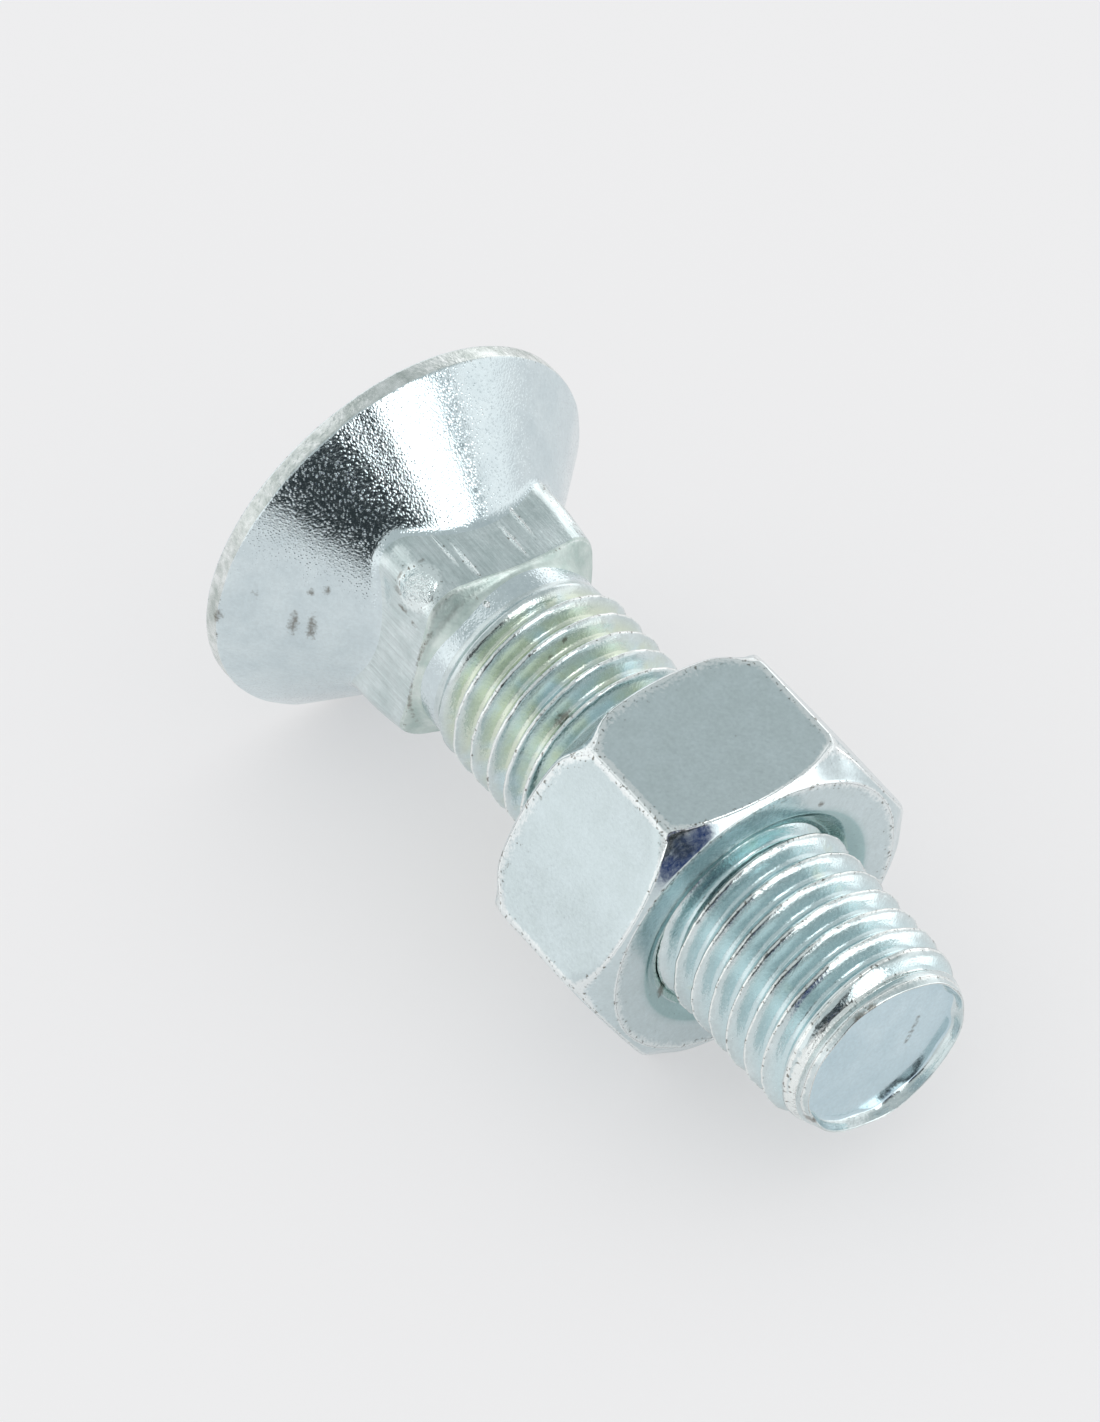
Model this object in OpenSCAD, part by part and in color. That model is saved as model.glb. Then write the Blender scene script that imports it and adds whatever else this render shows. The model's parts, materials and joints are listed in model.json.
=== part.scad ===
// Plow bolt with its hexagon nut: a flat countersunk head, a short square
// neck, a plain shank and a rolled thread, lying on its head rim and its nut.
//
// Both pieces are built along the bolt's own axis, with +X from the flat of
// the head to the thread's end and the head's flat at zero. lie() then sets
// them down on the ground.

/* [Head] */
// Diameter of the head over its rim
head_d = 23.8; // [21:0.1:28]
// Height of the straight rim
rim_h = 1.0; // [0.6:0.1:1.6]
// Rounding of the rim's outer edge
rim_round = 0.2; // [0.05:0.05:0.5]
// Angle of the countersunk cone, side to side
cone_angle = 92; // [80:1:100]
// Radius of the hollow blend from the cone into the neck
cone_blend = 1.6; // [0.6:0.1:2.5]

/* [Neck] */
// Width of the square neck over its flats
neck_w = 11.5; // [11.3:0.1:13]
// Rounding of the neck's four long corners
neck_round = 2.1; // [0.8:0.1:3]
// Distance from the head's flat to the end of the neck's flats
neck_end = 10.3; // [9.8:0.1:13]
// Slope of the neck's end face, down towards its corners, in degrees
neck_end_slope = 17; // [5:1:25]
// Turn of the square against the nut's flats, in degrees
neck_turn = 9.4; // [0:0.1:45]

/* [Shank and thread] */
// Diameter of the plain shank, which is the thread's blank
shank_d = 11.1; // [10.6:0.1:11.5]
// Hollow fillet where the shank leaves the neck
shank_fillet = 0.35; // [0.1:0.05:0.6]
// Thread diameter over its crests
thread_d = 11.85; // [11.7:0.01:12]
// Thread pitch
pitch = 1.5; // [1:0.25:1.75]
// Distance from the head's flat to the middle of the first full crest
thread_start = 13.9; // [13.4:0.1:16]
// Length of the whole bolt
length = 44; // [42:0.1:60]

/* [Thread end] */
// Diameter of the raised lip that thread rolling leaves round the end
lip_d = 10.1; // [9:0.1:10.8]
// Rounding of that lip
lip_round = 0.25; // [0.1:0.05:0.4]
// Length of the taper behind the lip
taper_h = 2.0; // [1:0.1:3]
// Diameter of the flat inside the lip
dish_d = 9.2; // [8:0.1:9.6]
// Depth of that flat below the lip
dish_h = 0.4; // [0.1:0.1:0.8]

/* [Nut] */
// Width across the nut's flats
nut_af = 18.85; // [18:0.05:19.5]
// Height of the nut
nut_h = 10; // [8:0.1:12]
// Distance from the head's flat to the nut's bearing face
nut_at = 22.7; // [22:0.1:30]
// Diameter of the flat ring on each of the nut's faces
nut_face_d = 18.1; // [17:0.1:18.4]
// Slope of the nut's corner chamfers, in degrees
nut_chamfer = 30; // [20:1:35]
// Diameter of the countersunk mouth of the nut's bore
mouth_d = 13.8; // [12.6:0.1:15]
// Angle of that mouth, side to side
mouth_angle = 120; // [90:5:130]
// Gap between the thread's crests and the nut's bore, on the radius
nut_gap = 0.05; // [0.03:0.01:0.1]

/* [Hidden] */
$fn = 96;
arc_steps = 8;

head_r = head_d / 2;
neck_half = neck_w / 2;
shank_r = shank_d / 2;
crest_r = thread_d / 2;
lip_r = lip_d / 2;
nut_half = nut_af / 2;
nut_face_r = nut_face_d / 2;

// the revolved core stays this far inside the neck's flats
core_inset = 0.05;
core_r = neck_half - core_inset;

// a 60 degree thread: the groove is 0.6134 of the pitch deep, the crest's land
// an eighth of the pitch wide and the groove's floor a quarter of it
groove = 0.6134 * pitch;
root_r = crest_r - groove;
land = pitch / 8;
floor_w = pitch / 4;
flank = (pitch - land - floor_w) / 2;
crests = floor((length - thread_start) / pitch) + 1;

// the cone, and the arc that turns it parallel to the axis at the core
cone_half = cone_angle / 2;
cone_end = rim_h + (head_r - core_r) / tan(cone_half);
blend_back = cone_blend * tan(cone_half / 2);

// the bolt lies on the rim's inner edge and on the far end of a nut flat
flat_end = nut_at + nut_h - (nut_half - nut_face_r) * tan(nut_chamfer);
tilt = atan((head_r - nut_half) / (flat_end - rim_h));
axis_z = head_r * cos(tilt) + rim_h * sin(tilt);
x_low = rim_round * cos(tilt) - (head_r - rim_round) * sin(tilt) - rim_round;
x_high = (length - lip_round) * cos(tilt) + lip_r * sin(tilt) + lip_round;

// points on an arc, from angle a0 to angle a1
function arc(c, r, a0, a1) =
    [for (i = [0 : arc_steps]) let (a = a0 + (a1 - a0) * i / arc_steps)
        [c[0] + r * cos(a), c[1] + r * sin(a)]];

// one groove and the crest after it, s being the crest's middle
function turn(s) = [
    [root_r, s - land / 2 - flank - floor_w],
    [root_r, s - land / 2 - flank],
    [crest_r, s - land / 2],
    [crest_r, s + land / 2]
];

// brings a shape from the bolt's own axis to its place on the ground
module lie() {
    translate([-(x_low + x_high) / 2, 0, axis_z])
        rotate([0, tilt, 0]) children();
}

// revolves a profile, drawn as [radius, distance along the bolt], round +X
module turned() {
    rotate([0, 90, 0]) rotate_extrude() children();
}

// flat, rim, cone and blend, down to the core inside the neck
module head_profile() {
    blend_from = cone_end - blend_back * cos(cone_half);
    blend_to = cone_end + blend_back;
    polygon(concat(
        [[0, 0]],
        arc([head_r - rim_round, rim_round], rim_round, -90, 0),
        [[head_r, rim_h]],
        arc([core_r + cone_blend, blend_to], cone_blend,
            180 + cone_half, 180),
        [[core_r, neck_end - shank_fillet], [0, neck_end - shank_fillet]]
    ));
}

// shank with the fillet at its foot, and the thread's ridges
module thread_profile() {
    run_in = thread_start - pitch;
    polygon(concat(
        [[0, rim_h]],
        [[shank_r + shank_fillet, rim_h]],
        arc([shank_r + shank_fillet, neck_end + shank_fillet], shank_fillet,
            270, 180),
        [[shank_r, run_in - floor_w / 2]],
        [[(shank_r + crest_r) / 2, run_in], [shank_r, run_in + floor_w / 2]],
        [for (k = [0 : crests]) each turn(thread_start + k * pitch)],
        [[0, thread_start + crests * pitch + land / 2]]
    ));
}

// what the rolled thread is trimmed to: a taper, a lip and a shallow dish
module end_profile() {
    polygon(concat(
        [[0, 0], [crest_r + 1, 0], [crest_r + 1, length - taper_h],
         [crest_r, length - taper_h]],
        arc([lip_r, length - lip_round], lip_round, 20, 150),
        [[dish_d / 2, length - dish_h], [0, length - dish_h]]
    ));
}

// square with its long corners rounded
module neck_section() {
    square([neck_w - 2 * neck_round, neck_w], center = true);
    square([neck_w, neck_w - 2 * neck_round], center = true);
    for (x = [-1, 1], y = [-1, 1])
        translate([x, y] * (neck_half - neck_round)) circle(neck_round);
}

// square neck, cut at its end by a shallow cone that lowers the corners
module neck() {
    reach = neck_half * sqrt(2);
    drop = (reach - neck_half) * tan(neck_end_slope);
    intersection() {
        rotate([-neck_turn, 0, 0]) rotate([0, 90, 0])
            linear_extrude(neck_end) neck_section();
        turned() polygon([
            [0, rim_h], [reach, rim_h], [reach, neck_end - drop],
            [neck_half, neck_end], [0, neck_end]
        ]);
    }
}

// forged and thread-rolled in one piece
module bolt() {
    color("#c9d2d3") lie() {
        turned() head_profile();
        neck();
        turned() intersection() {
            thread_profile();
            end_profile();
        }
    }
}

// ring of the nut with its corner chamfers, bearing face at zero
module nut_profile() {
    corner_r = nut_half / cos(30);
    drop = (corner_r - nut_face_r) * tan(nut_chamfer);
    bore_r = crest_r + nut_gap;
    mouth = (mouth_d / 2 - bore_r) / tan(mouth_angle / 2);
    polygon([
        [bore_r, mouth], [mouth_d / 2, 0],
        [nut_face_r, 0], [corner_r, drop],
        [corner_r, nut_h - drop], [nut_face_r, nut_h],
        [mouth_d / 2, nut_h], [bore_r, nut_h - mouth]
    ]);
}

// hexagon nut, one flat down
module nut() {
    color("#b9c3c8") lie() translate([nut_at, 0, 0]) intersection() {
        turned() nut_profile();
        rotate([0, 90, 0]) rotate([0, 0, 30])
            cylinder(r = nut_half / cos(30), h = nut_h, $fn = 6);
    }
}

bolt();
nut();
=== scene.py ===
"""A zinc-plated plow bolt with its hexagon nut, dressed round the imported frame.

Both pieces are surfaces of two parameters: a path in the plane through the
bolt's axis, and the angle round that axis. The path is worked out for every
angle at once, so the square neck, the hexagon and the screw thread are all the
same kind of grid. Sizes are in millimetres along the bolt's own axis, from the
flat of the head, and are placed in the frame, in metres, at the very end.
"""

import json
import logging
import math
from dataclasses import dataclass, field
from enum import Enum

import bmesh
import bpy
import numpy as np
from mathutils import Matrix, Vector


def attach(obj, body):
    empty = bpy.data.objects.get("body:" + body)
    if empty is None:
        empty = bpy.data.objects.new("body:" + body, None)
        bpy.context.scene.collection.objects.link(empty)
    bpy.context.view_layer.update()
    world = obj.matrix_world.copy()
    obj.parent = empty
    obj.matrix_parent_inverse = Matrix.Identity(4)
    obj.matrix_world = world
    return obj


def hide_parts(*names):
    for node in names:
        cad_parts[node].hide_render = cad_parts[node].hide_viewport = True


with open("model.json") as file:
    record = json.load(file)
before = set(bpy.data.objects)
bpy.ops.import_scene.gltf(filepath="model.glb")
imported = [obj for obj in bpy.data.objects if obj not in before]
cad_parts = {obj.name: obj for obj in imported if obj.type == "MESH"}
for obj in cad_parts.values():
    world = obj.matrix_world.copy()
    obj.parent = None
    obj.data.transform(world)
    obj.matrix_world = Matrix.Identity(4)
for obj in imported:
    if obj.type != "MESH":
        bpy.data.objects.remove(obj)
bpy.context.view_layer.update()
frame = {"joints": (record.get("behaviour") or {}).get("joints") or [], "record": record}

MM = 0.001
TURN = 2.0 * math.pi
# share of a line that the rounding of the corner at its end may take up
CUT_SHARE = 0.45
# how strongly rows crowd where a thread's crest and root turn, from 0 to 1
CROWDING = 0.6
# points nearer than the first of these, in millimetres, are welded, and edges
# shorter than the second are dissolved
WELD, SPECK = 0.00005, 0.00001
log = logging.getLogger("plow_bolt")


# ---------------------------------------------------------------- shapes

def smooth_min(a: np.ndarray, b: np.ndarray, blend: float) -> np.ndarray:
    """Returns the smaller of two arrays, rounded off where they cross.

    Where the two differ by less than the blend width, a parabola as deep as a
    quarter of that width joins them.

    Args:
        a: One array.
        b: The other array.
        blend: Width of the rounding, in the arrays' own unit.

    Returns:
        The rounded minimum.
    """
    near = np.maximum(blend - np.abs(a - b), 0.0) / blend
    return np.minimum(a, b) - near * near * blend / 4.0


def smooth_max(a: np.ndarray, b: np.ndarray, blend: float) -> np.ndarray:
    """Returns the larger of two arrays, rounded off where they cross."""
    return -smooth_min(-a, -b, blend)


def ease(x: np.ndarray, low: float, high: float) -> np.ndarray:
    """Returns 0 below low, 1 above high and an S curve between them."""
    t = np.clip((x - low) / (high - low), 0.0, 1.0)
    return t * t * (3.0 - 2.0 * t)


def turned_by(theta: np.ndarray, centre: float) -> np.ndarray:
    """Returns how far each angle lies from a centre, from minus to plus half a turn."""
    return (theta - centre + math.pi) % TURN - math.pi


@dataclass(frozen=True)
class Ripple:
    """A smooth closed ripple round the axis.

    height is its usual height in millimetres, seed that of its random numbers,
    and orders the whole numbers of waves in a turn that it is made of.
    """

    height: float
    seed: int
    orders: range

    def at(self, theta: np.ndarray) -> np.ndarray:
        """Returns the ripple's height in millimetres at each angle.

        It is a sum of cosines, one for each order, with random heights and
        starts.

        Args:
            theta: Angles round the axis, in radians.

        Returns:
            The height at each angle.
        """
        rng = np.random.default_rng(self.seed)
        total = np.zeros_like(theta)
        for order in self.orders:
            total += rng.normal() * np.cos(order * theta + rng.uniform(0.0, TURN))
        return self.height * (total / math.sqrt(len(self.orders)))


@dataclass(frozen=True)
class Swells:
    """Smooth random swells on a surface.

    length is from one to the next along the bolt, in millimetres, around is how
    many go round it, and seed is that of their random heights.
    """

    length: float
    around: int
    seed: int

    def at(self, s: np.ndarray, theta: np.ndarray) -> np.ndarray:
        """Returns the swells' height, from -1 to 1, at each point.

        The crossings of a lattice hold random values, and an S curve in each
        direction carries the value from crossing to crossing.

        Args:
            s: Distances along the bolt, in millimetres.
            theta: Angles round it, in radians.

        Returns:
            The height at each point.
        """
        u = s / self.length
        v = np.broadcast_to(theta / TURN, s.shape) * self.around
        rows = int(np.ceil(u.max() - u.min())) + 3
        rng = np.random.default_rng(self.seed)
        values = rng.uniform(-1.0, 1.0, (rows, self.around))
        u = u - np.floor(u.min())
        row = np.floor(u).astype(int)
        column = np.floor(v).astype(int)
        du = ease(u - row, 0.0, 1.0)
        dv = ease(v - column, 0.0, 1.0)
        here, after = column % self.around, (column + 1) % self.around
        low = values[row, here] * (1 - dv) + values[row, after] * dv
        high = values[row + 1, here] * (1 - dv) + values[row + 1, after] * dv
        return low * (1 - du) + high * du


def off_flat(theta: np.ndarray, sides: int, turn: float) -> np.ndarray:
    """Returns how far each angle lies from the middle of its flat.

    Args:
        theta: Angles round the axis, in radians.
        sides: Number of flats.
        turn: Angle of the middle of one flat.

    Returns:
        The angle from the nearest middle, from 0 to half a flat's angle.
    """
    sector = math.pi / sides
    return np.abs((theta - turn + sector) % (2 * sector) - sector)


def polygon_radius(theta: np.ndarray, sides: int, half: float, rounding: float,
                   turn: float) -> np.ndarray:
    """Returns the radius of a regular polygon with rounded corners.

    On a flat it is the half width over the cosine of the angle from the flat's
    middle. At a corner it is the far crossing of the ray with the corner's
    circle, which touches both flats.

    Args:
        theta: Angles round the axis, in radians.
        sides: Number of flats.
        half: Distance from the axis to a flat.
        rounding: Radius of each corner.
        turn: Angle of the middle of one flat.

    Returns:
        The radius at each angle.
    """
    sector = math.pi / sides
    angle = off_flat(theta, sides, turn)
    centre = (half - rounding) / math.cos(sector)
    touch = math.atan((half - rounding) * math.tan(sector) / half)
    away = centre * np.sin(sector - angle)
    corner = centre * np.cos(sector - angle)
    corner = corner + np.sqrt(np.maximum(rounding ** 2 - away ** 2, 0.0))
    return np.where(angle < touch, half / np.cos(angle), corner)


def even_path(corners: list, cuts: list, steps: list, arc_steps: int) -> tuple:
    """Returns rows of points along straight lines with rounded corners.

    A corner is a quadratic curve. It leaves one line at its cut from the
    corner, is drawn towards the corner, and joins the next line at the same
    distance behind it. A cut is at most CUT_SHARE of either line.

    Args:
        corners: (s, r) of each corner, each an array over the angles. The
            first and last are the path's ends.
        cuts: Cut of each inner corner, a number or an array over the angles.
        steps: Steps along each line.
        arc_steps: Steps round each corner.

    Returns:
        Arrays of s and r, a row for each point of the path, and the row at the
        middle of each inner corner.
    """
    points = np.array([np.broadcast_arrays(s, r) for s, r in corners], float)
    lines = points[1:] - points[:-1]
    lengths = np.maximum(np.linalg.norm(lines, axis=1), 1e-9)
    ways = lines / lengths[:, None]
    ends = np.zeros((len(points), points.shape[2]))
    for k, cut in enumerate(cuts, start=1):
        longest = CUT_SHARE * np.minimum(lengths[k - 1], lengths[k])
        ends[k] = np.minimum(cut, longest)
    rows, middles = [points[:1]], []
    count = 1
    for k, step in enumerate(steps):
        start = points[k] + ways[k] * ends[k]
        stop = points[k + 1] - ways[k] * ends[k + 1]
        t = (np.arange(1, step + 1) / step)[:, None, None]
        rows.append(start * (1 - t) + stop * t)
        count += step
        if k + 2 < len(points):
            after = points[k + 1] + ways[k + 1] * ends[k + 1]
            t = (np.arange(1, arc_steps + 1) / arc_steps)[:, None, None]
            rows.append(stop * (1 - t) ** 2 + points[k + 1] * 2 * t * (1 - t)
                        + after * t ** 2)
            middles.append(count + arc_steps // 2)
            count += arc_steps
    path = np.concatenate(rows)
    return path[:, 0], path[:, 1], middles


def screw_rows(start: float, end: float, pitch: float, theta: np.ndarray,
               phases: np.ndarray) -> np.ndarray:
    """Returns distances along the axis of rows that run with a screw thread.

    A row climbs one pitch a turn, and is held between the start and the end.
    There the rows gather into a plain ring, so the grid closes on both sides
    of the angle where a turn begins.

    Args:
        start: Where the rows begin.
        end: Where the rows stop.
        pitch: Distance that a row climbs in a turn.
        theta: Angles round the axis, from 0 to a whole turn.
        phases: Places of the rows within one pitch, from 0 to 1.

    Returns:
        An array of distances with a row for each row of the grid.
    """
    turns = math.ceil((end - start) / pitch) + 1
    places = (np.arange(turns)[:, None] + phases[None, :]).ravel()
    rows = start + (places[:, None] - 1.0 + theta[None, :] / TURN) * pitch
    rows = np.vstack([np.full_like(theta, start), rows, np.full_like(theta, end)])
    return np.clip(rows, start, end)


def crowded_phases(count: int, shift: float) -> np.ndarray:
    """Returns places within a pitch, crowded where a crest and a root turn."""
    t = np.arange(count) / count
    crowded = t - CROWDING * np.sin(2 * TURN * t) / (2 * TURN)
    return np.sort((crowded + shift) % 1.0)


def edge_wear(count: int, edges: list) -> np.ndarray:
    """Returns how rubbed each row of a grid is by the edges that stand out.

    The wear is full on the row at an edge's middle and falls evenly to nothing
    over a few rows on both sides of it.

    Args:
        count: Number of rows.
        edges: For each edge, the row at its middle, the rows over which it
            falls to nothing, and its full wear.

    Returns:
        A column with the wear of each row.
    """
    wear = np.zeros((count, 1))
    for middle, spread, full in edges:
        reach = np.abs(np.arange(count) - middle)[:, None] / spread
        wear = np.maximum(wear, full * np.clip(1.0 - reach, 0.0, 1.0))
    return wear


# ---------------------------------------------------------------- grids

@dataclass(frozen=True)
class Mark:
    """A stained or rubbed place on a piece.

    It lies at s and r, in millimetres along the bolt and out from its axis, and
    at theta, in degrees round it. Its half sizes are in millimetres, along the
    bolt and across it.
    """

    s: float
    r: float
    theta: float
    along: float
    across: float
    strength: float = 1.0

    def share(self, s: np.ndarray, r: np.ndarray, theta: np.ndarray) -> np.ndarray:
        """Returns its strength at each point, a bell over the distance from it."""
        turn = math.radians(self.theta)
        y = r * np.cos(theta) - self.r * math.cos(turn)
        z = r * np.sin(theta) - self.r * math.sin(turn)
        away = ((s - self.s) / self.along) ** 2 + (y * y + z * z) / self.across ** 2
        return self.strength * np.exp(-away)


@dataclass(frozen=True)
class Lay:
    """Where the bolt's own axis lies in the frame.

    start is the centre of the head's flat and along the unit vector from there
    to the thread's end, both in the frame, in metres.
    """

    start: np.ndarray
    along: np.ndarray

    @property
    def up(self) -> np.ndarray:
        """The unit vector square to the axis that points most nearly up."""
        return np.array([-self.along[2], 0.0, self.along[0]])

    @property
    def tilt(self) -> float:
        """How far the axis slopes down towards the thread's end, in radians."""
        return math.asin(-self.along[2])

    def place(self, s: np.ndarray, r: np.ndarray, theta: np.ndarray) -> np.ndarray:
        """Puts points given round the axis into the frame.

        Args:
            s: Distances along the bolt, in millimetres.
            r: Distances from the axis, in millimetres.
            theta: Angles from +Y towards up.

        Returns:
            An array of points in metres, with x, y and z in its last axis.
        """
        across = np.array([0.0, 1.0, 0.0])
        parts = (s[..., None] * self.along
                 + (r * np.cos(theta))[..., None] * across
                 + (r * np.sin(theta))[..., None] * self.up)
        return self.start + parts * MM


@dataclass
class Rows:
    """A grid that grows row by row, with the finish of each band of faces."""

    s: list = field(default_factory=list)
    r: list = field(default_factory=list)
    wear: list = field(default_factory=list)
    relief: list = field(default_factory=list)
    finish: list = field(default_factory=list)

    def add(self, s: np.ndarray, r: np.ndarray, finish: int,
            wear: float | np.ndarray = 0.0,
            relief: float | np.ndarray = 0.5) -> None:
        """Adds rows and names the finish of the faces that end on each of them.

        Args:
            s: Distances along the bolt, a row for each row of the grid.
            r: Distances from the axis, alike.
            finish: Index of the finish.
            wear: How rubbed each point is, 1 on a worn edge and more where the
                metal is crushed.
            relief: Height of each point in its thread, from root 0 to crest 1.
        """
        self.s.append(s)
        self.r.append(r)
        self.wear.append(np.broadcast_to(wear, s.shape))
        self.relief.append(np.broadcast_to(relief, s.shape))
        self.finish.append(np.full(len(s), finish))

    def mesh(self, name: str, theta: np.ndarray, lay: Lay, closed: bool,
             finishes: list, stains: tuple, rubs: tuple) -> bpy.types.Object:
        """Makes the grid a mesh, with its seam, poles and gathered rows welded.

        Args:
            name: Name of the piece.
            theta: Angles of the grid's columns, from 0 to a whole turn.
            lay: Where the axis lies.
            closed: Whether the last row meets the first, as on a ring.
            finishes: Materials in the order of their indices.
            stains: The marks that are stained.
            rubs: The marks that are rubbed bright.

        Returns:
            The object, at the origin, with its place in its mesh.
        """
        s, r = np.vstack(self.s), np.vstack(self.r)
        finish = np.concatenate(self.finish)
        angles = np.broadcast_to(theta, s.shape)
        stained, rubbed = [np.max([mark.share(s, r, angles) for mark in marks], axis=0)
                           for marks in (stains, rubs)]
        points = lay.place(s, r, angles).reshape(-1, 3)
        rows, columns = s.shape
        index = np.arange(rows * columns).reshape(rows, columns)
        if closed:
            index = np.vstack([index, index[:1]])
            finish = np.append(finish, finish[0])
        quads = np.stack([index[:-1, :-1], index[:-1, 1:],
                          index[1:, 1:], index[1:, :-1]], axis=-1)
        kinds = np.repeat(finish[1:], columns - 1)
        mesh = bpy.data.meshes.new(name)
        mesh.from_pydata(points, [], quads.reshape(-1, 4))
        mesh.polygons.foreach_set("material_index", kinds.astype(np.int32))
        layers = {"wear": np.maximum(np.vstack(self.wear), rubbed),
                  "relief": np.vstack(self.relief), "stain": stained}
        for label, values in layers.items():
            layer = mesh.attributes.new(label, "FLOAT", "POINT")
            layer.data.foreach_set("value", values.ravel().astype(np.float32))
        for material in finishes:
            mesh.materials.append(material)
        self.weld(mesh)
        piece = bpy.data.objects.new(name, mesh)
        bpy.context.scene.collection.objects.link(piece)
        return piece

    @staticmethod
    def weld(mesh: bpy.types.Mesh) -> None:
        """Joins points that lie in one place, and shades the mesh smooth."""
        work = bmesh.new()
        work.from_mesh(mesh)
        bmesh.ops.remove_doubles(work, verts=work.verts, dist=WELD * MM)
        bmesh.ops.dissolve_degenerate(work, edges=work.edges, dist=SPECK * MM)
        work.to_mesh(mesh)
        work.free()
        mesh.polygons.foreach_set("use_smooth", np.ones(len(mesh.polygons), bool))
        mesh.update()


# ---------------------------------------------------------------- finishes

# nearly all values of a noise texture lie between these two
NOISE_LOW, NOISE_HIGH = 0.3, 0.7


def linear(code: str) -> tuple:
    """Returns the linear RGBA of an sRGB hex colour such as "#c0c8cc"."""
    parts = [int(code[k:k + 2], 16) / 255.0 for k in (1, 3, 5)]
    return tuple(p / 12.92 if p <= 0.04045 else ((p + 0.055) / 1.055) ** 2.4
                 for p in parts) + (1.0,)


def add_node(tree: bpy.types.NodeTree, kind: str, settings: dict | None = None,
             links: dict | None = None) -> bpy.types.Node:
    """Adds a node, sets its properties and sockets, and links its inputs.

    Args:
        tree: The node tree.
        kind: The node's type, such as "ShaderNodeMix".
        settings: Properties by name, and input values by socket name or index.
        links: Output sockets to link, by the input's name or index.

    Returns:
        The node.
    """
    made = tree.nodes.new(kind)
    for key, value in (settings or {}).items():
        if isinstance(key, str) and hasattr(made, key):
            setattr(made, key, value)
    for key, value in (settings or {}).items():
        if not (isinstance(key, str) and hasattr(made, key)):
            made.inputs[key].default_value = value
    for key, socket in (links or {}).items():
        tree.links.new(socket, made.inputs[key])
    return made


@dataclass(frozen=True)
class Streaks:
    """Fine ridges that a tool leaves, long one way and narrow the other.

    along and across are their sizes in millimetres, along the bolt and square
    to it, height is theirs in millimetres, and contrast is how far they darken
    the colour.
    """

    along: float
    across: float
    height: float
    contrast: float


@dataclass(frozen=True)
class Ground:
    """What all layers of one material share.

    place is the position along the bolt's own axes, marks are the mesh's wear,
    relief and stain, clouds is a wide noise and grains a fine one.
    """

    tree: bpy.types.NodeTree
    place: bpy.types.NodeSocket
    marks: dict
    clouds: bpy.types.NodeSocket
    grains: bpy.types.NodeSocket


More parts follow.
